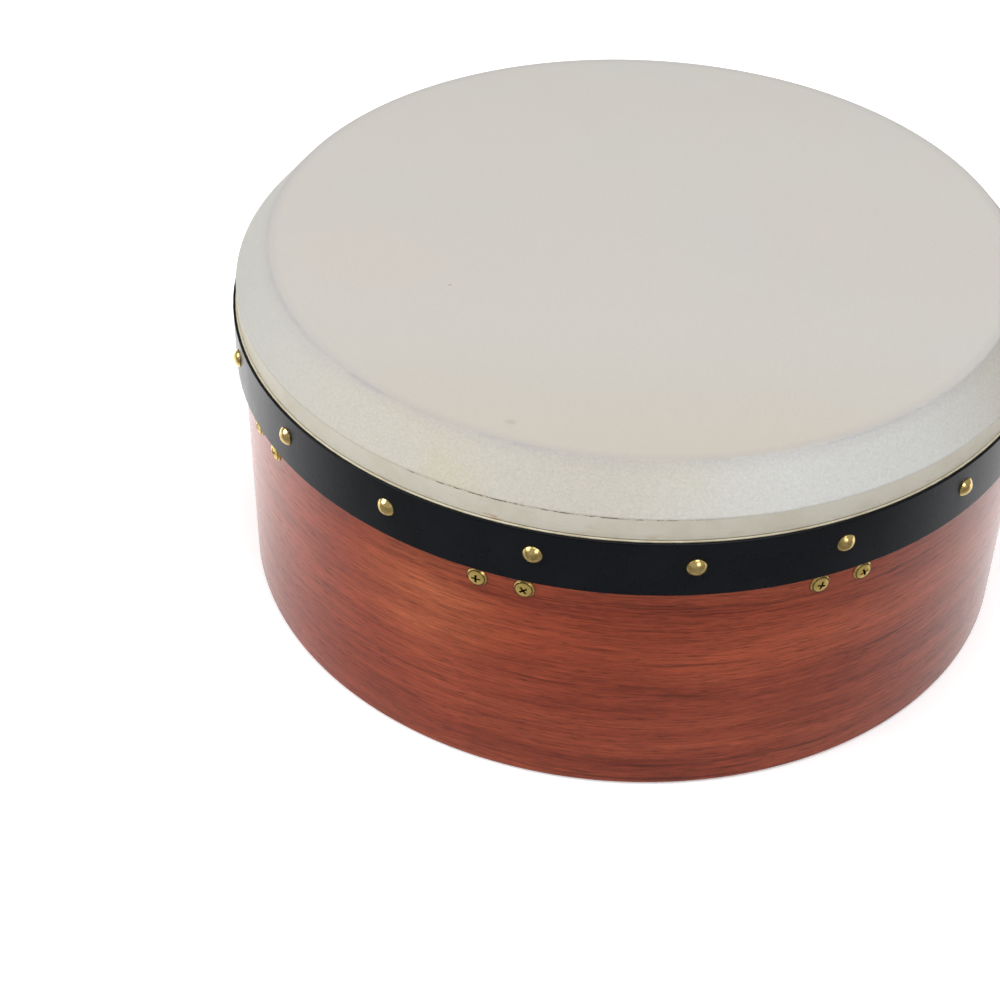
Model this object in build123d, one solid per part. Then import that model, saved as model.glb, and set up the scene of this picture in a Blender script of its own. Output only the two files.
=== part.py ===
from build123d import *
import math
import os

os.makedirs("parts", exist_ok=True)

# A deep tunable frame drum (bodhran), in millimetres. +Z is up, the skin is on top, and the
# origin is the centre of the open bottom edge. Angles go round from the front (-Y) towards +X.

# Bent wooden shell
shell_radius = 178.0
shell_wall = 9.0
shell_height = 147.0
shell_edge_round = 2.2
shell_inner_radius = shell_radius - shell_wall

# Goatskin: flat head, sloping bevel down to the shell's corner, and a skirt glued to the shell
skin_thickness = 1.2
head_radius = 164.6
head_top = 164.3
corner_radius = shell_radius + skin_thickness
corner_height = 147.5
skirt_bottom = 112.0

# Band round the shell: a pale backing strip and a black strip over it, butted at the back
band_bottom = 110.2
band_top = 136.4
backing_thickness = 0.8
backing_rise = 0.4
strip_thickness = 1.2
strip_edge_round = 0.4
butt_joint_angle = 179.3
butt_joint_gap = 0.6

# Domed brass tacks, driven by hand through the band
tack_count = 18
first_tack_angle = -10.7
tack_height = 125.0
tack_head_radius = 4.0
tack_crown = 2.2
tack_rim = 0.3
tack_shank_radius = 0.8
tack_length = 9.0
tack_point = 2.0
tack_angle_drift = [0.1, 0.3, -0.2, 0.25, -0.35, 0.15, 0.2, -0.3, -0.4]
tack_height_drift = [0.1, -0.2, 0.3, 0.0, -0.3, 0.2, 0.0, 0.3, -0.1]

# Eight tuners: a folded steel bracket, its captive nut and a socket-head bolt each
tuner_count = 8
first_tuner_angle = -15.0
tuner_radius = 159.0
bracket_plate = 2.0
bracket_half_angle = 5.4
bracket_bottom = 93.0
bracket_top = 115.0
bracket_reach = 20.0
bracket_corner = 3.0
bracket_bend = 1.5
seat_gap = 0.05
bolt_radius = 3.0
bolt_length = 50.0
bolt_head_radius = 5.0
bolt_head_height = 6.0
bolt_socket_flat = 5.0
bolt_socket_depth = 3.2
bolt_chamfer = 0.6
bolt_running_gap = 0.05
bolt_nut_flats = 10.0
bolt_nut_height = 5.0

# Screws through the shell: raised heads in cup washers outside, nuts or the bar inside
screw_height = 103.9
screw_spread = 3.2
screw_radius = 2.0
screw_head_radius = 3.5
screw_head_crown = 0.9
screw_clearance = 0.1
screw_past_nut = 1.5
cup_radius = 4.3
cup_height = 1.0
cup_edge = 0.25
cup_lip = 0.2
recess_span = 4.0
recess_width = 1.1
recess_depth = 1.7
recess_taper = 14.0
recess_turn_step = 37.0
screw_nut_flats = 7.0
screw_nut_height = 3.2

# Wooden grip bar across the open back
bar_width = 26.0
bar_thickness = 14.0
bar_middle = 47.0
bar_edge_round = 4.5
bar_screw_length = 34.0

# Tuning ring inside the shell, which lifts the skin
ring_outer_radius = 164.0
ring_wall = 10.0
ring_height = 25.0
ring_edge_round = 1.0
pressure_plate_radius = 3.8
pressure_plate_thickness = 1.5
bolt_tip_gap = 0.05

# Heights and radii that follow from those above
bevel_run = corner_radius - head_radius
bevel_rise = head_top - corner_height
bevel_slope = math.atan2(bevel_rise, bevel_run)
head_underside = head_top - skin_thickness
head_inner_radius = head_radius - skin_thickness * math.tan(bevel_slope / 2)
corner_inner_height = corner_height - skin_thickness * math.tan((math.pi / 2 - bevel_slope) / 2)
backing_radius = corner_radius + backing_thickness
strip_radius = backing_radius + strip_thickness
ring_bottom = head_underside - ring_height
ring_inner_radius = ring_outer_radius - ring_wall
bolt_top = ring_bottom - bolt_tip_gap
bolt_head_top = bolt_top - bolt_length


def turned(points):
    """Solid of revolution about Z from a closed outline of (radius, height) points."""
    outline = Plane.XZ * Polyline(points, close=True)
    return revolve(make_face(outline), axis=Axis.Z)


def tube(outer, inner, bottom, top):
    return turned([(inner, bottom), (outer, bottom), (outer, top), (inner, top)])


def at_front(shape, radius, height):
    """Stands a shape, built along its own +Z, so that it points out of the drum's front."""
    seat = Plane(origin=(0, -radius, height), x_dir=(1, 0, 0), z_dir=(0, -1, 0))
    return seat * shape


def round_drum(shape, angle):
    """Turns a shape from the drum's front to an angle, positive towards +X."""
    return Rot(0, 0, angle) * shape


def circle_edges(shape, radius, height):
    """The shape's circular edges of one radius at one height."""
    found = []
    for edge in shape.edges().filter_by(GeomType.CIRCLE):
        same_radius = abs(edge.radius - radius) < 0.01
        same_height = abs(edge.center(CenterOf.BOUNDING_BOX).Z - height) < 0.01
        if same_radius and same_height:
            found.append(edge)
    return found


def dome_arc(base_radius, base_height, rise):
    """Arc of a shallow dome, from its base to its crown on the axis."""
    sphere = (base_radius ** 2 + rise ** 2) / (2 * rise)
    half_turn = math.asin(base_radius / sphere) / 2
    middle_radius = sphere * math.sin(half_turn)
    middle_height = base_height + rise - sphere * (1 - math.cos(half_turn))
    base = (base_radius, base_height)
    crown = (0, base_height + rise)
    return ThreePointArc(base, (middle_radius, middle_height), crown)


def capped_turning(points, rise):
    """Turned solid whose outline, from the axis up its outside, ends in a shallow dome."""
    side = Polyline(points)
    dome = dome_arc(points[-1][0], points[-1][1], rise)
    middle = Line(dome @ 1, side @ 0)
    outline = Plane.XZ * make_face([side, dome, middle])
    return revolve(outline, axis=Axis.Z)


def tack_places():
    """Angle and height of each tack; opposite tacks share one drift from even spacing."""
    places = []
    for index in range(tack_count):
        drift = index % len(tack_angle_drift)
        angle = first_tack_angle + index * 360 / tack_count + tack_angle_drift[drift]
        places.append((angle, tack_height + tack_height_drift[drift]))
    return places


def tuner_angles():
    return [first_tuner_angle + index * 360 / tuner_count for index in range(tuner_count)]


def bracket_screw_angles():
    angles = []
    for angle in tuner_angles():
        angles.append(angle - screw_spread)
        angles.append(angle + screw_spread)
    return angles


def bar_screw_angles():
    return [-90.0, 90.0]


def radial_holes(places, radius, inner, outer):
    """Plain holes from one radius to another, at a list of (angle, height) places."""
    holes = []
    for angle, height in places:
        drill = Pos(0, 0, (outer - inner) / 2) * Cylinder(radius, outer - inner)
        holes.append(round_drum(at_front(drill, inner, height), angle))
    return holes


def tack_holes(inner, outer):
    return radial_holes(tack_places(), tack_shank_radius, inner, outer)


def shell_hoop():
    hoop = tube(shell_radius, shell_inner_radius, 0, shell_height)
    rims = circle_edges(hoop, shell_radius, 0) + circle_edges(hoop, shell_inner_radius, 0)
    hoop = fillet(rims, shell_edge_round)
    bracket_places = [(angle, screw_height) for angle in bracket_screw_angles()]
    bar_places = [(angle, bar_middle) for angle in bar_screw_angles()]
    hole_radius = screw_radius + screw_clearance
    inside = shell_inner_radius - 2
    outside = shell_radius + 2
    for hole in radial_holes(bracket_places + bar_places, hole_radius, inside, outside):
        hoop -= hole
    for hole in tack_holes(strip_radius - tack_length, outside):
        hoop -= hole
    return hoop


def skin_head():
    return turned([
        (0, head_underside),
        (head_inner_radius, head_underside),
        (head_radius, head_top),
        (0, head_top),
    ])


def skin_bevel():
    return turned([
        (head_inner_radius, head_underside),
        (shell_radius, corner_inner_height),
        (corner_radius, corner_height),
        (head_radius, head_top),
    ])


def skin_skirt():
    skirt = turned([
        (shell_radius, skirt_bottom),
        (corner_radius, skirt_bottom),
        (corner_radius, corner_height),
        (shell_radius, corner_inner_height),
    ])
    for hole in tack_holes(shell_radius - 1, corner_radius + 1):
        skirt -= hole
    return skirt


def butt_joint():
    """Thin radial slot that parts a strip at the back of the drum."""
    slot = Pos(0, -strip_radius, (band_bottom + band_top) / 2) * Box(butt_joint_gap, 20, 40)
    return round_drum(slot, butt_joint_angle)


def band_backing():
    strip = tube(backing_radius, corner_radius, band_bottom + backing_rise, band_top + backing_rise)
    strip -= butt_joint()
    for hole in tack_holes(corner_radius - 1, backing_radius + 1):
        strip -= hole
    return strip


def band_strip():
    strip = tube(strip_radius, backing_radius, band_bottom, band_top)
    edges = circle_edges(strip, strip_radius, band_bottom) + circle_edges(strip, strip_radius, band_top)
    strip = fillet(edges, strip_edge_round)
    strip -= butt_joint()
    for hole in tack_holes(backing_radius - 1, strip_radius + 1):
        strip -= hole
    return strip


def tack():
    return capped_turning([
        (0, -tack_length),
        (tack_shank_radius, tack_point - tack_length),
        (tack_shank_radius, 0),
        (tack_head_radius, 0),
        (tack_head_radius, tack_rim),
    ], tack_crown)


def band_tacks():
    tacks = []
    for angle, height in tack_places():
        tacks.append(round_drum(at_front(tack(), strip_radius, height), angle))
    return Compound(children=tacks)


def hexagon(flats, height, bore):
    """Hexagonal nut from z = 0 up, its corners eased, with a plain bore."""
    corners = flats / math.sqrt(3)
    body = extrude(RegularPolygon(corners, 6), height)
    ease = turned([
        (0, 0),
        (corners - 0.6, 0),
        (corners, 0.4),
        (corners, height - 0.4),
        (corners - 0.6, height),
        (0, height),
    ])
    nut = body & ease
    return nut - Pos(0, 0, height / 2) * Cylinder(bore, height + 1)


def tuner_bracket(angle):
    """Angle bracket: a curved plate against the shell and a flat leg that holds the nut."""
    outer = shell_inner_radius - seat_gap
    plate = tube(outer, outer - bracket_plate, bracket_bottom, bracket_top)
    leg = tube(outer, outer - bracket_reach, bracket_top - bracket_plate, bracket_top)
    half_width = outer * math.sin(math.radians(bracket_half_angle))
    height = bracket_top - bracket_bottom
    middle = (bracket_top + bracket_bottom) / 2
    blank = Pos(0, -outer + bracket_reach / 2, middle) * Box(2 * half_width, 2 * bracket_reach, height)
    bracket = (plate + leg) & blank
    lower_corners = bracket.edges().filter_by(Axis.Y).group_by(Axis.Z)[0]
    bracket = fillet(lower_corners, bracket_corner)
    bracket = fillet(circle_edges(bracket, outer - bracket_plate, bracket_top - bracket_plate), bracket_bend)
    bracket = fillet(circle_edges(bracket, outer, bracket_top), bracket_bend)
    bolt_hole = Pos(0, -tuner_radius, bracket_top) * Cylinder(bolt_radius + 0.3, 3 * bracket_plate)
    bracket -= bolt_hole
    screw_places = [(-screw_spread, screw_height), (screw_spread, screw_height)]
    hole_radius = screw_radius + screw_clearance
    for hole in radial_holes(screw_places, hole_radius, outer - 2 * bracket_plate, outer + 1):
        bracket -= hole
    return round_drum(bracket, angle)


def bracket_nuts():
    nut_bottom = bracket_top - bracket_plate - bolt_nut_height
    nuts = []
    for angle in tuner_angles():
        nut = hexagon(bolt_nut_flats, bolt_nut_height, bolt_radius + bolt_running_gap)
        nuts.append(round_drum(Pos(0, -tuner_radius, nut_bottom) * nut, angle))
    return Compound(children=nuts)


def screw_cup():
    bore = screw_radius + seat_gap
    mouth = screw_head_radius + seat_gap
    return turned([
        (bore, 0),
        (cup_radius, 0),
        (cup_radius, cup_edge),
        (mouth + cup_lip, cup_height),
        (mouth, cup_height),
    ])


def cross_recess(turn):
    """Cross-shaped pocket that narrows as it goes down from z = 0."""
    cross = Rectangle(recess_span, recess_width) + Rectangle(recess_width, recess_span)
    pocket = extrude(cross, -recess_depth, taper=recess_taper)
    return Rot(0, 0, turn) * (pocket + extrude(cross, 1))


def screw(length, point, turn):
    """Raised-head screw with its head's cone at z = 0 up and its shank below."""
    body = capped_turning([
        (0, -length),
        (max(screw_radius - point, 0.2), -length),
        (screw_radius, -length + point),
        (screw_radius, 0),
        (screw_head_radius, cup_height),
    ], screw_head_crown)
    crown = cup_height + screw_head_crown
    return body - Pos(0, 0, crown) * cross_recess(turn)


def bracket_screws():
    length = shell_wall + seat_gap + bracket_plate + screw_nut_height + screw_past_nut
    screws = []
    for index, angle in enumerate(bracket_screw_angles()):
        piece = screw(length, 0.5, index * recess_turn_step)
        screws.append(round_drum(at_front(piece, shell_radius, screw_height), angle))
    return Compound(children=screws)


def bracket_screw_cups():
    cups = []
    for angle in bracket_screw_angles():
        cups.append(round_drum(at_front(screw_cup(), shell_radius, screw_height), angle))
    return Compound(children=cups)


def bracket_screw_nuts():
    face = shell_inner_radius - seat_gap - bracket_plate - 2 * seat_gap
    nuts = []
    for angle in bracket_screw_angles():
        nut = hexagon(screw_nut_flats, screw_nut_height, screw_radius + seat_gap)
        nuts.append(round_drum(at_front(nut, face - screw_nut_height, screw_height), angle))
    return Compound(children=nuts)


def cross_bar():
    reach = shell_inner_radius - seat_gap
    bar = Pos(0, 0, bar_middle) * Box(2 * shell_radius, bar_width, bar_thickness)
    bar = fillet(bar.edges().filter_by(Axis.X), bar_edge_round)
    bar = bar & Pos(0, 0, bar_middle) * Cylinder(reach, 2 * bar_width)
    bar_places = [(angle, bar_middle) for angle in bar_screw_angles()]
    for hole in radial_holes(bar_places, screw_radius, shell_radius - bar_screw_length, shell_radius):
        bar -= hole
    return bar


def cross_bar_screws():
    screws = []
    for angle in bar_screw_angles():
        piece = screw(bar_screw_length, 1.8, angle / 3)
        screws.append(round_drum(at_front(piece, shell_radius, bar_middle), angle))
    return Compound(children=screws)


def cross_bar_cups():
    cups = []
    for angle in bar_screw_angles():
        cups.append(round_drum(at_front(screw_cup(), shell_radius, bar_middle), angle))
    return Compound(children=cups)


def pressure_plate():
    middle = ring_bottom + pressure_plate_thickness / 2
    disc = Cylinder(pressure_plate_radius, pressure_plate_thickness)
    return Pos(0, -tuner_radius, middle) * disc


def tuning_ring():
    ring = tube(ring_outer_radius, ring_inner_radius, ring_bottom, head_underside)
    edges = []
    for radius in (ring_outer_radius, ring_inner_radius):
        for height in (ring_bottom, head_underside):
            edges += circle_edges(ring, radius, height)
    ring = fillet(edges, ring_edge_round)
    for angle in tuner_angles():
        ring -= round_drum(pressure_plate(), angle)
    return ring


def ring_pressure_plates():
    plates = [round_drum(pressure_plate(), angle) for angle in tuner_angles()]
    return Compound(children=plates)


def tuning_bolt(angle):
    """Socket-head bolt, head down, whose tip pushes the ring up."""
    body = turned([
        (0, bolt_head_top - bolt_head_height),
        (bolt_head_radius - bolt_chamfer, bolt_head_top - bolt_head_height),
        (bolt_head_radius, bolt_head_top - bolt_head_height + bolt_chamfer),
        (bolt_head_radius, bolt_head_top),
        (bolt_radius, bolt_head_top),
        (bolt_radius, bolt_top - bolt_chamfer),
        (bolt_radius - bolt_chamfer, bolt_top),
        (0, bolt_top),
    ])
    socket = extrude(RegularPolygon(bolt_socket_flat / math.sqrt(3), 6), bolt_socket_depth)
    body -= Pos(0, 0, bolt_head_top - bolt_head_height) * socket
    return round_drum(Pos(0, -tuner_radius, 0) * body, angle)


def save(shape, name):
    shape.label = name
    export_step(shape, os.path.join("parts", name + ".step"))


save(shell_hoop(), "shell_hoop")
save(skin_head(), "skin_head")
save(skin_bevel(), "skin_bevel")
save(skin_skirt(), "skin_skirt")
save(band_backing(), "band_backing")
save(band_strip(), "band_strip")
save(band_tacks(), "band_tacks")
save(bracket_nuts(), "bracket_nuts")
save(bracket_screws(), "bracket_screws")
save(bracket_screw_cups(), "bracket_screw_cups")
save(bracket_screw_nuts(), "bracket_screw_nuts")
save(cross_bar(), "cross_bar")
save(cross_bar_screws(), "cross_bar_screws")
save(cross_bar_cups(), "cross_bar_cups")
save(tuning_ring(), "tuning_ring")
save(ring_pressure_plates(), "ring_pressure_plates")

for number, angle in enumerate(tuner_angles(), start=1):
    save(tuner_bracket(angle), f"tuner_bracket_{number}")
    save(tuning_bolt(angle), f"tuning_bolt_{number}")
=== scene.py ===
import math
import bpy
from mathutils import Matrix, Vector


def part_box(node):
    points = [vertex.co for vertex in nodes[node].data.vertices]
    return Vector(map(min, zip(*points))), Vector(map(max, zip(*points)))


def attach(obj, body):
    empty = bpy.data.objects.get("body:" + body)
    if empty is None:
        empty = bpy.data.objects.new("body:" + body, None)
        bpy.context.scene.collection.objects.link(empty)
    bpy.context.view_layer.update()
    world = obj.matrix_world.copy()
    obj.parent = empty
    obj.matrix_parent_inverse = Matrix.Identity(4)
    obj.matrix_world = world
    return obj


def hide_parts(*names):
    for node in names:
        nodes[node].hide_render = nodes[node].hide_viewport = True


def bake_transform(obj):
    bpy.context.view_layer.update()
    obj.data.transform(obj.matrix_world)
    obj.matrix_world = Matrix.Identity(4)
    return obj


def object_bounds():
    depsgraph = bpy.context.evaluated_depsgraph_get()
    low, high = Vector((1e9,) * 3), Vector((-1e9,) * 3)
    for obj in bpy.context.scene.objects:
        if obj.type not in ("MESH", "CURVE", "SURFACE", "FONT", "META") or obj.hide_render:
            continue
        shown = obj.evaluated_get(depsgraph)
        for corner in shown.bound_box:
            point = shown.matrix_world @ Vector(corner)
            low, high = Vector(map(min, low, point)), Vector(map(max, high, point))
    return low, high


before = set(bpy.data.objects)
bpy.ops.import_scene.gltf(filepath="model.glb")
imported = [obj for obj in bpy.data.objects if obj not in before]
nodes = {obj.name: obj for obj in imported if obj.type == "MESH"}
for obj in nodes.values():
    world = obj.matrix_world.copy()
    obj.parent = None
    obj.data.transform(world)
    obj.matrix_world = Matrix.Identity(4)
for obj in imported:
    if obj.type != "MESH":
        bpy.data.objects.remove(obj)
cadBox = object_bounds()
hoopRadius = 0.178  # turns an angle round the drum into a length along its wall
cupRadius = 0.0043
screwPlaces = {"first": math.radians(-15), "spread": math.radians(3.2), "height": 0.1039}
print("frame loaded")


def addNode(tree, kind, **settings):
    node = tree.nodes.new(kind)
    for key, value in settings.items():
        setattr(node, key, value)
    return node


def feed(tree, socket, value):
    # a socket of another node is linked, a plain number or colour is typed in
    if isinstance(value, bpy.types.NodeSocket):
        tree.links.new(value, socket)
    else:
        socket.default_value = value


def calc(tree, operation, a, b=0.0, c=None):
    node = addNode(tree, "ShaderNodeMath", operation=operation)
    feed(tree, node.inputs[0], a)
    feed(tree, node.inputs[1], b)
    if c is not None:
        feed(tree, node.inputs[2], c)
    return node.outputs[0]


def product(tree, *values):
    total = values[0]
    for value in values[1:]:
        total = calc(tree, "MULTIPLY", total, value)
    return total


def combine(tree, x, y, z):
    node = addNode(tree, "ShaderNodeCombineXYZ")
    for socket, value in zip(node.inputs, (x, y, z)):
        feed(tree, socket, value)
    return node.outputs[0]


def noise(tree, vector, scale, detail=3.0, roughness=0.55, distortion=0.0):
    node = addNode(tree, "ShaderNodeTexNoise")
    feed(tree, node.inputs["Vector"], vector)
    node.inputs["Scale"].default_value = scale
    node.inputs["Detail"].default_value = detail
    node.inputs["Roughness"].default_value = roughness
    node.inputs["Distortion"].default_value = distortion
    return node.outputs["Fac"]


def fade(tree, value, low, high):
    # 0 at low, 1 at high, smooth between them; low may be the larger one
    node = addNode(tree, "ShaderNodeMapRange", interpolation_type="SMOOTHSTEP")
    feed(tree, node.inputs["Value"], value)
    node.inputs["From Min"].default_value = low
    node.inputs["From Max"].default_value = high
    return node.outputs["Result"]


def window(tree, value, middle, half, soft):
    # 1 within half of the middle, fading to 0 over soft beyond that
    away = calc(tree, "ABSOLUTE", calc(tree, "SUBTRACT", value, middle))
    return fade(tree, away, half + soft, half)


def blendColor(tree, factor, first, second, mode="MIX"):
    node = addNode(tree, "ShaderNodeMix", data_type="RGBA", blend_type=mode)
    feed(tree, node.inputs["Factor"], factor)
    feed(tree, node.inputs["A"], first)
    feed(tree, node.inputs["B"], second)
    return node.outputs["Result"]


def bump(tree, height, strength, distance):
    node = addNode(tree, "ShaderNodeBump")
    node.inputs["Strength"].default_value = strength
    node.inputs["Distance"].default_value = distance
    feed(tree, node.inputs["Height"], height)
    return node.outputs["Normal"]


def place(tree):
    # object coordinates, and the radius, angle and length round the drum's axis, with 0 at its front
    where = addNode(tree, "ShaderNodeTexCoord").outputs["Object"]
    split = addNode(tree, "ShaderNodeSeparateXYZ")
    tree.links.new(where, split.inputs[0])
    x, y, z = split.outputs
    squares = calc(tree, "ADD", calc(tree, "MULTIPLY", x, x), calc(tree, "MULTIPLY", y, y))
    angle = calc(tree, "ARCTAN2", x, calc(tree, "MULTIPLY", y, -1.0))
    return {
        "vector": where, "x": x, "y": y, "z": z, "radius": calc(tree, "SQRT", squares),
        "angle": angle, "length": calc(tree, "MULTIPLY", angle, hoopRadius),
    }


def spot(tree, first, second, middle, reach):
    # 1 in the middle of an oval on two coordinates, 0 outside it
    u = calc(tree, "DIVIDE", calc(tree, "SUBTRACT", first, middle[0]), reach[0])
    v = calc(tree, "DIVIDE", calc(tree, "SUBTRACT", second, middle[1]), reach[1])
    squares = calc(tree, "ADD", calc(tree, "MULTIPLY", u, u), calc(tree, "MULTIPLY", v, v))
    return fade(tree, calc(tree, "SQRT", squares), 1.0, 0.1)


def fromTuner(tree, at):
    # angle from the nearest of the eight tuners
    turned = calc(tree, "SUBTRACT", at["angle"], screwPlaces["first"])
    return calc(tree, "WRAP", turned, math.pi / 8, -math.pi / 8)


def fromScrew(tree, at):
    # distance from the axis of the nearest bracket screw, along the wall
    turned = calc(tree, "ABSOLUTE", fromTuner(tree, at))
    beside = calc(tree, "SUBTRACT", turned, screwPlaces["spread"])
    sideways = product(tree, beside, hoopRadius)
    upward = calc(tree, "SUBTRACT", at["z"], screwPlaces["height"])
    squares = calc(tree, "ADD", product(tree, sideways, sideways), product(tree, upward, upward))
    return calc(tree, "SQRT", squares)


def rgb(red, green, blue):
    # screen colour, 0 to 255, as the linear colour that the shader wants
    linear = []
    for value in (red, green, blue):
        share = value / 255
        linear.append(share / 12.92 if share <= 0.04045 else ((share + 0.055) / 1.055) ** 2.4)
    return (*linear, 1.0)


def newMaterial(name, **shader):
    material = bpy.data.materials.new(name)
    material.use_nodes = True
    tree = material.node_tree
    principled = tree.nodes["Principled BSDF"]
    for key, value in shader.items():
        principled.inputs[key].default_value = value
    return material, tree, principled


def newGroup(name, inputs, outputs):
    group = bpy.data.node_groups.new(name, "ShaderNodeTree")
    for label, kind, value in inputs:
        socket = group.interface.new_socket(label, in_out="INPUT", socket_type=kind)
        if value is not None:
            socket.default_value = value
    for label, kind in outputs:
        group.interface.new_socket(label, in_out="OUTPUT", socket_type=kind)
    start = group.nodes.new("NodeGroupInput")
    end = group.nodes.new("NodeGroupOutput")
    return group, start.outputs, end.inputs


def useGroup(tree, group, **values):
    node = addNode(tree, "ShaderNodeGroup", node_tree=group)
    for key, value in values.items():
        feed(tree, node.inputs[key], value)
    return node.outputs


def paint(piece, material):
    piece.data.materials.clear()
    piece.data.materials.append(material)


woodFigure = {
    # repeats in a metre along and across the grain, shift, detail, roughness, and the noise
    # levels where a mark starts and where it is full
    "broad": (4.2, 52.0, 0.0, 10.0, 0.74, 0.16, 0.84),
    "cluster": (4.0, 30.0, 40.0, 3.0, 0.55, 0.44, 0.6),
    "thin": (24.0, 620.0, 7.7, 4.0, 0.65, 0.58, 0.66),
    "long": (6.5, 520.0, 29.0, 4.0, 0.6, 0.6, 0.68),
    "hair": (55.0, 1050.0, 17.0, 3.0, 0.65, 0.56, 0.7),
    "dashes": (120.0, 1600.0, 5.0, 1.0, 0.55, 0.6, 0.72),
    "lean": 0.012,  # how far the grain climbs in a metre, and wanders
}


def buildGrainGroup():
    # wood figure, with Along the grain and Across it in metres
    group, given, put = newGroup(
        "woodGrain",
        [
            ("Along", "NodeSocketFloat", 0.0),
            ("Across", "NodeSocketFloat", 0.0),
            ("Depth", "NodeSocketFloat", 0.0),
            ("Light", "NodeSocketColor", (0.5, 0.2, 0.1, 1)),
            ("Dark", "NodeSocketColor", (0.2, 0.06, 0.03, 1)),
            ("Pore", "NodeSocketColor", (0.05, 0.015, 0.01, 1)),
            ("Streaks", "NodeSocketFloat", 1.0),
            ("Pores", "NodeSocketFloat", 1.0),
        ],
        [
            ("Color", "NodeSocketColor"),
            ("Pore Mask", "NodeSocketFloat"),
            ("Height", "NodeSocketFloat"),
        ],
    )
    along, across, depth = given["Along"], given["Across"], given["Depth"]
    slow = combine(group, product(group, along, 5.0), product(group, across, 9.0), depth)
    wander = product(group, noise(group, slow, 1.0, detail=2.0), woodFigure["lean"])
    tilted = calc(group, "MULTIPLY_ADD", along, woodFigure["lean"], across)
    bent = calc(group, "ADD", tilted, wander)

    def figure(lengthwise, crosswise, shift):
        u = calc(group, "MULTIPLY_ADD", along, lengthwise, shift)
        v = calc(group, "MULTIPLY", bent, crosswise)
        return combine(group, u, v, calc(group, "MULTIPLY", depth, crosswise))

    def marks(kind):
        lengthwise, crosswise, shift, detail, roughness, low, high = woodFigure[kind]
        where = figure(lengthwise, crosswise, shift)
        return fade(group, noise(group, where, 1.0, detail, roughness), low, high)

    broad, cluster = marks("broad"), marks("cluster")
    thin, long, hair, dashes = marks("thin"), marks("long"), marks("hair"), marks("dashes")
    fibres = noise(group, figure(60.0, 1250.0, 1.3), 1.0, detail=4.0, roughness=0.85)
    upright = combine(group, product(group, along, 30.0), product(group, across, 3.0), depth)
    ribbons = noise(group, upright, 1.0, detail=2.0, roughness=0.45)

    color = blendColor(group, broad, given["Light"], given["Dark"])
    shade = calc(group, "MULTIPLY_ADD", ribbons, 0.4, 0.81)
    shade = product(group, shade, calc(group, "MULTIPLY_ADD", fibres, 2.5, -0.25))
    color = blendColor(group, 1.0, color, shade, "MULTIPLY")
    lines = calc(group, "MULTIPLY_ADD", long, 0.75, product(group, thin, 0.5))
    lines = calc(group, "MULTIPLY_ADD", hair, 0.34, lines)
    lines = product(group, lines, calc(group, "MULTIPLY_ADD", cluster, 0.8, 0.2), given["Streaks"])
    color = blendColor(group, calc(group, "MINIMUM", lines, 0.85), color, given["Pore"])
    pores = product(group, dashes, given["Pores"])
    color = blendColor(group, product(group, pores, 0.42), color, given["Pore"])
    grooves = calc(group, "MULTIPLY_ADD", lines, 0.5, pores)
    height = calc(group, "SUBTRACT", product(group, fibres, 0.4), grooves)
    group.links.new(color, put["Color"])
    group.links.new(pores, put["Pore Mask"])
    group.links.new(height, put["Height"])
    return group


def buildWearGroup():
    # handling marks for metal: a cloudy film, and fine scratches
    group, given, put = newGroup(
        "handledMetal",
        [
            ("Vector", "NodeSocketVector", None),
            ("Clean", "NodeSocketColor", (0.8, 0.6, 0.3, 1)),
            ("Tarnish", "NodeSocketColor", (0.3, 0.2, 0.1, 1)),
            ("Amount", "NodeSocketFloat", 0.5),
            ("Smooth", "NodeSocketFloat", 0.2),
            ("Rough", "NodeSocketFloat", 0.4),
        ],
        [
            ("Color", "NodeSocketColor"),
            ("Roughness", "NodeSocketFloat"),
            ("Height", "NodeSocketFloat"),
        ],
    )
    film = fade(group, noise(group, given["Vector"], 420.0, detail=4.0, roughness=0.65), 0.42, 0.7)
    spots = noise(group, given["Vector"], 1900.0, detail=2.0)
    scratches = noise(group, given["Vector"], 5200.0, detail=2.0, distortion=2.5)
    dirty = product(group, film, given["Amount"], calc(group, "MULTIPLY_ADD", spots, 0.8, 0.6))
    group.links.new(blendColor(group, dirty, given["Clean"], given["Tarnish"]), put["Color"])
    spread = calc(group, "SUBTRACT", given["Rough"], given["Smooth"])
    group.links.new(calc(group, "MULTIPLY_ADD", spread, film, given["Smooth"]), put["Roughness"])
    group.links.new(scratches, put["Height"])
    return group


grainGroup = buildGrainGroup()
wearGroup = buildWearGroup()
print("shared effects built")


def straight(start, end, count):
    # points after start, up to and with end
    return [(start[0] + (end[0] - start[0]) * k / count, start[1] + (end[1] - start[1]) * k / count)
            for k in range(1, count + 1)]


def corner(before, point, after, radius, count):
    # an arc that rounds the corner at point, with count + 1 points
    p = Vector(point)
    a = (Vector(before) - p).normalized()
    b = (Vector(after) - p).normalized()
    half = a.angle(b) / 2
    reach = radius / math.tan(half)
    middle = p + (a + b).normalized() * (radius / math.sin(half))
    first = p + a * reach - middle
    last = p + b * reach - middle
    sweep = first.angle_signed(last)
    arc = []
    for k in range(count + 1):
        turn = -sweep * k / count
        c, s = math.cos(turn), math.sin(turn)
        arc.append((middle.x + first.x * c - first.y * s, middle.y + first.x * s + first.y * c))
    return arc


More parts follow.
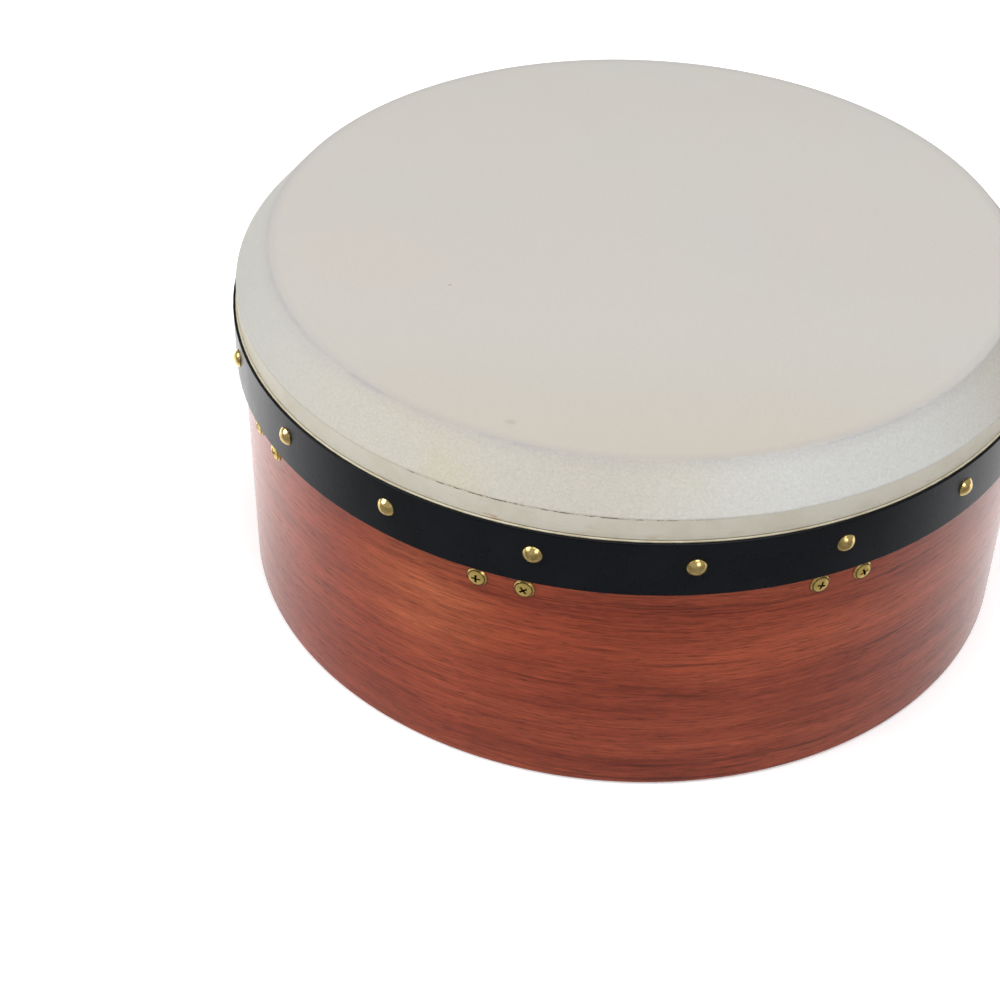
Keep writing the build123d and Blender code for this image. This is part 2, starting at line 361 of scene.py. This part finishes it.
def turnedPiece(name, profile, turns, closed=False):
    # profile of (radius, height) points, down its outside, turned about Z by a live Screw
    mesh = bpy.data.meshes.new(name)
    edges = [(k, k + 1) for k in range(len(profile) - 1)]
    if closed:
        edges.append((len(profile) - 1, 0))
    mesh.from_pydata([(radius, 0, height) for radius, height in profile], edges, [])
    piece = bpy.data.objects.new(name, mesh)
    bpy.context.scene.collection.objects.link(piece)
    screw = piece.modifiers.new("turn", "SCREW")
    screw.axis = "Z"
    screw.steps = turns
    screw.render_steps = turns
    screw.use_merge_vertices = True
    screw.merge_threshold = 1e-6
    screw.use_smooth_shade = True
    return piece


def applyStack(piece):
    # the finished mesh in place of the cage and its modifiers
    bpy.context.view_layer.update()
    shaped = piece.evaluated_get(bpy.context.evaluated_depsgraph_get())
    mesh = bpy.data.meshes.new_from_object(shaped)
    old = piece.data
    piece.modifiers.clear()
    piece.data = mesh
    bpy.data.meshes.remove(old)


shellWood = {
    "light": rgb(172, 82, 52),
    "dark": rgb(116, 41, 25),
    "pore": rgb(52, 19, 14),
    "streaks": 0.8,
    "pores": 1.0,
    "roughness": 0.42,
    "specular": 0.14,
    "coatWeight": 0.6,
    "coatRoughness": 0.14,
    "wall": 0.009,
    "edge": 0.0022,
    "turns": 360,
    "leftTint": (0.94, 0.76, 0.58, 1.0),
    "paleTint": (1.25, 1.65, 1.6, 1.0),
    "deepTint": (0.9, 0.82, 0.78, 1.0),
    "jointAt": 0.5588,  # half way round the wall, less half the joint's width
}

ringWood = {
    "light": rgb(206, 168, 122),
    "dark": rgb(176, 132, 88),
    "pore": rgb(120, 82, 52),
    "streaks": 0.5,
    "pores": 0.7,
    "roughness": 0.5,
    "specular": 0.3,
    "coatWeight": 0.05,
    "coatRoughness": 0.35,
}


def woodMaterial(name, look, shape):
    material, tree, principled = newMaterial(name)
    at = place(tree)
    if shape == "bar":
        along, across, depth = at["x"], at["y"], at["z"]
    else:
        along, across, depth = at["length"], at["z"], at["radius"]
    grain = useGroup(
        tree, grainGroup, Along=along, Across=across, Depth=depth,
        Light=look["light"], Dark=look["dark"], Pore=look["pore"],
        Streaks=look["streaks"], Pores=look["pores"],
    )
    color = grain["Color"]
    if shape == "hoop":
        # browner at the left, a pale and a deep patch in front, the glued joint at the back, and
        # a painted shadow line round the cups
        left = window(tree, at["angle"], -0.95, 0.2, 0.35)
        color = blendColor(tree, left, color, look["leftTint"], "MULTIPLY")
        pale = spot(tree, at["length"], at["z"], (-0.083, 0.086), (0.05, 0.045))
        color = blendColor(tree, pale, color, look["paleTint"], "MULTIPLY")
        deep = spot(tree, at["length"], at["z"], (-0.012, 0.062), (0.075, 0.085))
        color = blendColor(tree, deep, color, look["deepTint"], "MULTIPLY")
        turned = calc(tree, "ABSOLUTE", at["length"])
        joint = fade(tree, turned, look["jointAt"], look["jointAt"] + 0.0003)
        joint = product(tree, joint, 0.8)
        color = blendColor(tree, joint, color, look["pore"])
        # painted shadow line on the wood round each cup
        cupShadow = window(tree, fromScrew(tree, at), cupRadius, 0.0001, 0.0004)
        color = blendColor(tree, product(tree, cupShadow, 0.6), color, look["pore"])
    tree.links.new(color, principled.inputs["Base Color"])
    rough = calc(tree, "MULTIPLY_ADD", grain["Pore Mask"], 0.2, look["roughness"])
    tree.links.new(rough, principled.inputs["Roughness"])
    tree.links.new(bump(tree, grain["Height"], 0.4, 0.0001), principled.inputs["Normal"])
    principled.inputs["Specular IOR Level"].default_value = look["specular"]
    principled.inputs["Coat Weight"].default_value = look["coatWeight"]
    principled.inputs["Coat Roughness"].default_value = look["coatRoughness"]
    return material


def makeHoop():
    # the shell's own rounded edges, turned finely enough that they look round
    low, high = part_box("shell_hoop")
    outer, inner = high.x, high.x - shellWood["wall"]
    top, foot = high.z, low.z
    outside = corner((outer, top), (outer, foot), (inner, foot), shellWood["edge"], 6)
    inside = corner((outer, foot), (inner, foot), (inner, top), shellWood["edge"], 6)
    wall = straight((outer, top), outside[0], 8)[:-1]
    backUp = straight(inside[-1], (inner, top), 8)
    profile = [(outer, top)] + wall + outside + inside + backUp
    hoop = turnedPiece("bentHoop", profile, shellWood["turns"], closed=True)
    paint(hoop, woodMaterial("stainedHoop", shellWood, "hoop"))
    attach(hoop, "shell")
    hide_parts("shell_hoop")


makeHoop()
paint(nodes["cross_bar"], woodMaterial("stainedBar", shellWood, "bar"))
paint(nodes["tuning_ring"], woodMaterial("pressRing", ringWood, "ring"))
print("wood painted")


skinLook = {
    "head": rgb(192, 188, 181),
    "headWarm": rgb(193, 185, 176),
    "headCool": rgb(187, 187, 183),
    "headFront": rgb(189, 182, 169),
    "bevel": rgb(189, 184, 173),
    "bevelYellow": rgb(190, 182, 158),
    "bevelCool": rgb(202, 201, 197),
    "bevelLeft": rgb(186, 185, 180),
    "side": rgb(204, 199, 185),
    "sideGreen": rgb(198, 192, 175),
    "stain": rgb(176, 134, 84),
    "deepStain": rgb(178, 112, 54),
    "speck": rgb(120, 84, 60),
    "mark": rgb(128, 132, 112),
    # colour of the painted shade along the crease over the ring
    "creaseShade": rgb(166, 161, 163),
    # dirt on the shell corner's worn line, and the painted shade in the gap above the band
    "dirtAndShade": rgb(34, 30, 28),
    "rawhide": rgb(190, 176, 148),
    "roughness": 0.6,
    "specular": 0.25,
}

skinShape = {
    "thickness": 0.0012,
    "ringBend": 0.0016,  # outside radius where it turns over the tuning ring
    "cornerBend": 0.0012,  # and over the shell's corner
    "turns": 288,
    "cut": 0.445,  # width of the round hide before it was stretched on
    "cutArea": 0.155,
}

headRadius, _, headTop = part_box("skin_head")[1]
cornerRadius, _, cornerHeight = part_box("skin_skirt")[1]
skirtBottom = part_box("skin_skirt")[0].z


def skinProfile():
    centre = (0.0, headTop)
    edge = (headRadius, headTop)
    shoulder = (cornerRadius, cornerHeight)
    foot = (cornerRadius, skirtBottom)
    overRing = corner(centre, edge, shoulder, skinShape["ringBend"], 5)
    overShell = corner(edge, shoulder, foot, skinShape["cornerBend"], 5)
    points = [centre] + straight(centre, overRing[0], 26)
    points += overRing[1:] + straight(overRing[-1], overShell[0], 9)
    points += overShell[1:] + straight(overShell[-1], foot, 10)
    return points


def headColor(tree, at):
    warm = fade(tree, noise(tree, at["vector"], 8.0, detail=3.0), 0.38, 0.76)
    cool = fade(tree, noise(tree, at["vector"], 4.5, detail=4.0, distortion=0.4), 0.48, 0.7)
    fine = noise(tree, at["vector"], 700.0, detail=3.0, roughness=0.7)
    color = blendColor(tree, product(tree, warm, 0.6), skinLook["head"], skinLook["headWarm"])
    color = blendColor(tree, product(tree, cool, 0.7), color, skinLook["headCool"])
    front = fade(tree, at["y"], -0.07, -0.165)
    color = blendColor(tree, product(tree, front, 0.75), color, skinLook["headFront"])
    color = blendColor(tree, 1.0, color, calc(tree, "MULTIPLY_ADD", fine, 0.1, 0.95), "MULTIPLY")
    speck = spot(tree, at["x"], at["y"], (-0.0791, -0.0525), (0.0014, 0.0012))
    color = blendColor(tree, product(tree, speck, 0.35), color, skinLook["speck"])
    mark = spot(tree, at["x"], at["y"], (-0.0451, -0.146), (0.0034, 0.0026))
    return blendColor(tree, product(tree, mark, 0.28), color, skinLook["mark"])


def bevelColor(tree, at):
    yellow = fade(tree, noise(tree, at["vector"], 16.0, detail=3.0), 0.46, 0.68)
    fine = noise(tree, at["vector"], 900.0, detail=3.0, roughness=0.7)
    color = blendColor(tree, product(tree, yellow, 0.8), skinLook["bevel"], skinLook["bevelYellow"])
    color = blendColor(tree, window(tree, at["angle"], 0.55, 0.15, 0.5), color, skinLook["bevelCool"])
    left = fade(tree, at["angle"], -0.6, -1.1)
    color = blendColor(tree, product(tree, left, 0.75), color, skinLook["bevelLeft"])
    grainy = calc(tree, "MULTIPLY_ADD", left, -0.2, 0.4)
    fine = calc(tree, "MULTIPLY_ADD", calc(tree, "SUBTRACT", fine, 0.5), grainy, 1.0)
    return blendColor(tree, 1.0, color, fine, "MULTIPLY")


def sideColor(tree, at):
    # the strip above the band, with stains that lie along the edge of the band, and painted shade in
    # the gap just above the band's backing
    green = fade(tree, noise(tree, at["vector"], 45.0, detail=4.0), 0.4, 0.66)
    color = blendColor(tree, green, skinLook["side"], skinLook["sideGreen"])
    flat = combine(tree, product(tree, at["length"], 110.0), product(tree, at["z"], 420.0), 0.0)
    smeared = fade(tree, noise(tree, flat, 1.0, detail=4.0, roughness=0.6), 0.5, 0.72)
    nearBand = fade(tree, at["z"], cornerHeight - 0.005, cornerHeight - 0.011)
    color = blendColor(tree, product(tree, smeared, nearBand, 0.35), color, skinLook["stain"])
    first = spot(tree, at["length"], at["z"], (-0.0488, 0.1385), (0.009, 0.0042))
    second = spot(tree, at["length"], at["z"], (-0.0116, 0.1405), (0.008, 0.0035))
    both = calc(tree, "ADD", first, product(tree, second, 0.6))
    color = blendColor(tree, product(tree, smeared, both, 0.85), color, skinLook["deepStain"])
    # painted shade in the gap between the skin and the band's backing
    gapShade = fade(tree, at["z"], cornerHeight - 0.0101, cornerHeight - 0.0105)
    return blendColor(tree, product(tree, gapShade, 0.7), color, skinLook["dirtAndShade"])


def creaseShadeAndWear(tree, at, color):
    # painted shade where the skin turns over the ring, a faint lilac line with a wider soft band
    # inside it, and a thin worn line on the shell's corner
    line = window(tree, at["radius"], headRadius - 0.0001, 0.0003, 0.001)
    soft = window(tree, at["radius"], headRadius - 0.0005, 0.0005, 0.0045)
    patchy = fade(tree, noise(tree, at["vector"], 70.0, detail=4.0, roughness=0.6), 0.38, 0.62)
    frontLeft = window(tree, at["angle"], -0.55, 0.3, 0.5)
    patchy = calc(tree, "MULTIPLY_ADD", patchy, 0.4, 0.14)
    line = product(tree, line, patchy, calc(tree, "MULTIPLY_ADD", frontLeft, 0.5, 0.5))
    color = blendColor(tree, line, color, skinLook["creaseShade"])
    color = blendColor(tree, product(tree, soft, 0.24), color, skinLook["creaseShade"])
    along = combine(tree, product(tree, at["length"], 260.0), product(tree, at["z"], 500.0), 0.0)
    broken = fade(tree, noise(tree, along, 1.0, detail=4.0, roughness=0.7), 0.47, 0.56)
    worn = window(tree, at["z"], cornerHeight - 0.0007, 0.0001, 0.0003)
    reach = product(tree, fade(tree, at["angle"], -0.5, -0.47), fade(tree, at["angle"], 0.3, -0.05))
    color = blendColor(tree, product(tree, worn, broken, reach), color, skinLook["dirtAndShade"])
    return blendColor(tree, product(tree, worn, 0.25), color, skinLook["rawhide"])


def skinMaterial():
    material, tree, principled = newMaterial("goatHide")
    at = place(tree)
    onHead = fade(tree, at["radius"], headRadius + 0.0008, headRadius - 0.0012)
    onSide = product(tree, fade(tree, at["radius"], cornerRadius - 0.0006, cornerRadius - 0.0001),
                     fade(tree, at["z"], cornerHeight - 0.0004, cornerHeight - 0.0012))
    color = blendColor(tree, onHead, bevelColor(tree, at), headColor(tree, at))
    color = blendColor(tree, onSide, color, sideColor(tree, at))
    color = creaseShadeAndWear(tree, at, color)
    tree.links.new(color, principled.inputs["Base Color"])
    pebbles = noise(tree, at["vector"], 1050.0, detail=2.0, roughness=0.6)
    rough = calc(tree, "MULTIPLY_ADD", pebbles, 0.12, skinLook["roughness"] - 0.06)
    tree.links.new(rough, principled.inputs["Roughness"])
    height = product(tree, pebbles, calc(tree, "MULTIPLY_ADD", onHead, -0.7, 1.0))
    tree.links.new(bump(tree, height, 0.7, 0.0005), principled.inputs["Normal"])
    principled.inputs["Specular IOR Level"].default_value = skinLook["specular"]
    return material


def makeSkin():
    skin = turnedPiece("goatskin", skinProfile(), skinShape["turns"])
    hide = skin.modifiers.new("hide", "SOLIDIFY")
    hide.thickness = skinShape["thickness"]
    hide.offset = -1.0
    applyStack(skin)
    paint(skin, skinMaterial())
    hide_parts("skin_head", "skin_bevel", "skin_skirt")
    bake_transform(skin)


makeSkin()
print("goatskin made")


bandLook = {
    "color": rgb(22, 23, 26),
    "worn": rgb(30, 32, 37),
    # colour of the painted shadow along the band's top edge
    "edge": rgb(10, 10, 11),
    "roughness": 0.28,
    "specular": 0.17,
    "specularTint": (0.84, 0.92, 1.0, 1.0),
}

backingLook = {
    "pale": rgb(218, 209, 184),
    "aged": rgb(198, 186, 156),
    "roughness": 0.6,
}


def bandMaterial():
    material, tree, principled = newMaterial("blackBand")
    at = place(tree)
    around = combine(tree, at["length"], at["z"], at["radius"])
    cloudy = fade(tree, noise(tree, around, 40.0, detail=4.0), 0.4, 0.75)
    upright = combine(tree, product(tree, at["length"], 120.0), product(tree, at["z"], 30.0), 0.0)
    streaks = noise(tree, upright, 1.0, detail=3.0)
    color = blendColor(tree, product(tree, cloudy, 0.4), bandLook["color"], bandLook["worn"])
    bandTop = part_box("band_strip")[1].z
    # painted shadow: the band darker along its top edge, where it rounds over
    edge = fade(tree, at["z"], bandTop - 0.0009, bandTop - 0.0003)
    color = blendColor(tree, product(tree, edge, 0.8), color, bandLook["edge"])
    tree.links.new(color, principled.inputs["Base Color"])
    rough = calc(tree, "MULTIPLY_ADD", cloudy, 0.03, bandLook["roughness"] - 0.04)
    rough = calc(tree, "MULTIPLY_ADD", streaks, 0.06, rough)
    tree.links.new(rough, principled.inputs["Roughness"])
    pebbles = noise(tree, around, 1300.0, detail=2.0)
    tree.links.new(bump(tree, pebbles, 0.12, 0.0002), principled.inputs["Normal"])
    principled.inputs["Specular IOR Level"].default_value = bandLook["specular"]
    principled.inputs["Specular Tint"].default_value = bandLook["specularTint"]
    return material


def backingMaterial():
    material, tree, principled = newMaterial("paleBacking", Roughness=backingLook["roughness"])
    at = place(tree)
    patchy = fade(tree, noise(tree, at["vector"], 120.0, detail=3.0), 0.4, 0.7)
    color = blendColor(tree, patchy, backingLook["pale"], backingLook["aged"])
    tree.links.new(color, principled.inputs["Base Color"])
    weave = noise(tree, at["vector"], 1400.0)
    tree.links.new(bump(tree, weave, 0.3, 0.0002), principled.inputs["Normal"])
    return material


paint(nodes["band_strip"], bandMaterial())
paint(nodes["band_backing"], backingMaterial())
print("band painted")


def boltRelief(tree, at):
    # a thread on each tuning bolt's shank and a knurl on its head, as heights from 0 to 1
    turned = fromTuner(tree, at)
    sideways = product(tree, at["radius"], calc(tree, "SINE", turned))
    outward = product(tree, at["radius"], calc(tree, "COSINE", turned))
    around = calc(tree, "ARCTAN2", sideways, calc(tree, "SUBTRACT", outward, boltLook["axisRadius"]))
    around = calc(tree, "DIVIDE", around, 2 * math.pi)
    turns = calc(tree, "ADD", around, calc(tree, "DIVIDE", at["z"], boltLook["pitch"]))
    thread = calc(tree, "PINGPONG", calc(tree, "FRACT", turns), 0.5)
    ribs = calc(tree, "FRACT", product(tree, around, boltLook["knurls"]))
    knurl = calc(tree, "PINGPONG", ribs, 0.5)
    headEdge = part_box("tuning_bolt_1")[0].z + boltLook["head"]
    onShank = fade(tree, at["z"], headEdge, headEdge + 0.0003)
    onHead = window(tree, at["z"], headEdge - boltLook["head"] / 2, 0.0022, 0.0004)
    return calc(tree, "ADD", product(tree, thread, onShank, 2.0), product(tree, knurl, onHead, 1.2))


metalLook = {
    # clean colour, tarnish, how much of it, roughness where clean and where dirty, and metallic
    "polishedBrass": (rgb(240, 209, 136), rgb(122, 88, 38), 0.5, 0.13, 0.3, 0.85),
    "screwBrass": (rgb(242, 208, 122), rgb(122, 88, 38), 0.35, 0.3, 0.5, 0.7),
    "cupBrass": (rgb(242, 208, 122), rgb(122, 88, 38), 0.35, 0.24, 0.42, 0.75),
    "zincPlate": (rgb(190, 192, 196), rgb(120, 122, 126), 0.5, 0.28, 0.5, 1.0),
    # painted shade in the screws' cross recesses, and the painted shadow line where a head meets its
    # cup
    "recessShade": (0.003, 0.0025, 0.002, 1.0),
    "rimShadow": rgb(30, 24, 16),
}


def metalMaterial(name, pit=None, rim=None):
    # pit is the radius from the drum's axis below which a recess gets painted shade, and rim the
    # radius of the painted shadow line in the joint between a screw's head and its cup
    clean, tarnish, amount, smooth, rough, metallic = metalLook[name]
    material, tree, principled = newMaterial(name, Metallic=metallic)
    at = place(tree)
    worn = useGroup(
        tree, wearGroup, Vector=at["vector"], Clean=clean, Tarnish=tarnish,
        Amount=amount, Smooth=smooth, Rough=rough,
    )
    color = worn["Color"]
    if pit is not None:
        # painted shade in the cross recess of each screw head
        cross = fade(tree, fromScrew(tree, at), 0.0023, 0.0021)
        low = calc(tree, "MULTIPLY_ADD", cross, 0.0005, pit)
        deep = fade(tree, calc(tree, "SUBTRACT", at["radius"], low), 0.0001, -0.0001)
        color = blendColor(tree, deep, color, metalLook["recessShade"])
    if rim is not None:
        # painted shadow line where the head meets its cup
        joint = window(tree, fromScrew(tree, at), rim, 0.0001, 0.0002)
        color = blendColor(tree, product(tree, joint, 0.85), color, metalLook["rimShadow"])
    tree.links.new(color, principled.inputs["Base Color"])
    tree.links.new(worn["Roughness"], principled.inputs["Roughness"])
    tree.links.new(bump(tree, worn["Height"], 0.12, 0.00005), principled.inputs["Normal"])
    return material


boltLook = {
    "axisRadius": 0.159,
    "pitch": 0.001,
    "knurls": 40,
    "head": 0.006,
    "color": rgb(150, 152, 158),
    # the tarnish colour, also used for the painted shade in the thread and knurl grooves
    "dirtAndShade": rgb(62, 62, 64),
}


def boltMaterial():
    material, tree, principled = newMaterial("boltSteel", Metallic=1.0)
    at = place(tree)
    worn = useGroup(
        tree, wearGroup, Vector=at["vector"], Clean=boltLook["color"], Tarnish=boltLook["dirtAndShade"],
        Amount=0.5, Smooth=0.26, Rough=0.45,
    )
    relief = boltRelief(tree, at)
    # painted shade in the thread and knurl grooves, where the relief is low
    color = blendColor(tree, fade(tree, relief, 0.5, 0.1), worn["Color"], boltLook["dirtAndShade"])
    tree.links.new(color, principled.inputs["Base Color"])
    tree.links.new(worn["Roughness"], principled.inputs["Roughness"])
    tree.links.new(bump(tree, relief, 0.8, 0.0003), principled.inputs["Normal"])
    return material


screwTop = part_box("cross_bar_screws")[1].x
brass = metalMaterial("polishedBrass")
screwBrass = metalMaterial("screwBrass", pit=screwTop - 0.0009, rim=0.0035)
cupBrass = metalMaterial("cupBrass", rim=0.0036)
zincSteel = metalMaterial("zincPlate")
boltSteel = boltMaterial()

paint(nodes["band_tacks"], brass)
for name in ("bracket_screw_cups", "cross_bar_cups"):
    paint(nodes[name], cupBrass)
for name in ("bracket_screws", "cross_bar_screws"):
    paint(nodes[name], screwBrass)
for name in ("bracket_nuts", "bracket_screw_nuts", "ring_pressure_plates"):
    paint(nodes[name], zincSteel)
for number in range(1, 9):
    paint(nodes[f"tuner_bracket_{number}"], zincSteel)
    paint(nodes[f"tuning_bolt_{number}"], boltSteel)
print("metal painted")


studio = {
    "floorSize": 12.0,
    "floorSeen": rgb(250, 250, 250),
    "floorBounce": rgb(240, 240, 240),
    "floorGlow": 0.32,
    "mirroredGlow": 0.6,
    "mirroredDark": 0.13,
    "mirroredSpan": 0.86,
    "footShine": 0.14,
    "world": (0.95, 0.97, 1.0, 1.0),
    "worldStrength": 0.3,
    "worldSeen": 0.8,
    "lights": [  # name, place, size, watts
        ("topBox", (0.3, -0.45, 2.2), 2.0, 28.0),
        ("frontBox", (1.0, -1.8, 1.3), 1.2, 10.0),
        ("leftBox", (-1.7, -0.5, 1.3), 1.5, 24.0),
        ("backBox", (0.7, 1.9, 1.2), 1.6, 8.0),
    ],
}

cameraSetup = {
    "back": 0.76753,
    "up": 0.63282,
    "pitch": 0.6836,
    "yaw": -0.0784,
    "roll": 0.0179,
    "lens": 72.4,
}


def floorMaterial():
    # white to the eye; polished things see it pale behind the drum and at its foot, and dark in front
    material, tree, principled = newMaterial("paleFloor", Roughness=0.9)
    at = place(tree)
    rays = addNode(tree, "ShaderNodeLightPath").outputs
    behind = fade(tree, at["y"], -0.25, 0.05)
    foot = product(tree, fade(tree, at["radius"], 0.27, 0.21), studio["footShine"])
    mirrored = product(tree, calc(tree, "MAXIMUM", behind, foot), studio["mirroredSpan"])
    mirrored = calc(tree, "ADD", mirrored, studio["mirroredDark"])
    color = blendColor(tree, rays["Is Camera Ray"], studio["floorBounce"], studio["floorSeen"])
    color = blendColor(tree, rays["Is Glossy Ray"], color, mirrored)
    tree.links.new(color, principled.inputs["Base Color"])
    principled.inputs["Emission Color"].default_value = (1, 1, 1, 1)
    glow = product(tree, rays["Is Glossy Ray"], behind, studio["mirroredGlow"])
    seen = calc(tree, "ADD", fade(tree, at["radius"], 0.5, 4.0), studio["floorGlow"])
    glow = calc(tree, "MULTIPLY_ADD", rays["Is Camera Ray"], seen, glow)
    tree.links.new(glow, principled.inputs["Emission Strength"])
    principled.inputs["Specular IOR Level"].default_value = 0.0
    return material


def makeFloor():
    half = studio["floorSize"] / 2
    mesh = bpy.data.meshes.new("floor")
    corners = [(-half, -half, 0), (half, -half, 0), (half, half, 0), (-half, half, 0)]
    mesh.from_pydata(corners, [], [(0, 1, 2, 3)])
    floor = bpy.data.objects.new("floor", mesh)
    bpy.context.scene.collection.objects.link(floor)
    floor.location.z = cadBox[0][2] - 0.0002
    paint(floor, floorMaterial())


def makeLights():
    for name, spotPlace, size, watts in studio["lights"]:
        lamp = bpy.data.lights.new(name, "AREA")
        lamp.shape = "DISK"
        lamp.size = size
        lamp.energy = watts
        light = bpy.data.objects.new(name, lamp)
        bpy.context.scene.collection.objects.link(light)
        light.location = spotPlace
        aim = Vector((0, 0, 0.1)) - Vector(spotPlace)
        light.rotation_euler = aim.to_track_quat("-Z", "Y").to_euler()
    world = bpy.data.worlds.new("studio")
    world.use_nodes = True
    sky = world.node_tree.nodes["Background"]
    sky.inputs["Color"].default_value = studio["world"]
    tree = world.node_tree
    rays = addNode(tree, "ShaderNodeLightPath").outputs
    seen = product(tree, rays["Is Camera Ray"], studio["worldSeen"])
    feed(tree, sky.inputs["Strength"], calc(tree, "ADD", seen, studio["worldStrength"]))
    bpy.context.scene.world = world


def makeCamera():
    yaw, pitch, roll = cameraSetup["yaw"], cameraSetup["pitch"], cameraSetup["roll"]
    flat = math.cos(pitch)
    ahead = Vector((math.sin(yaw) * flat, math.cos(yaw) * flat, -math.sin(pitch)))
    level = Vector((math.cos(yaw), -math.sin(yaw), 0))
    upward = level.cross(ahead)
    right = level * math.cos(roll) + upward * math.sin(roll)
    above = upward * math.cos(roll) - level * math.sin(roll)
    data = bpy.data.cameras.new("camera")
    data.lens = cameraSetup["lens"]
    data.sensor_width = 36.0
    data.clip_start = 0.01
    camera = bpy.data.objects.new("camera", data)
    bpy.context.scene.collection.objects.link(camera)
    turn = Matrix((right, above, -ahead)).transposed().to_4x4()
    camera.matrix_world = Matrix.Translation((0, -cameraSetup["back"], cameraSetup["up"])) @ turn
    bpy.context.scene.camera = camera


makeFloor()
makeLights()
makeCamera()
bpy.context.scene.view_settings.view_transform = "Standard"
print("stage set")
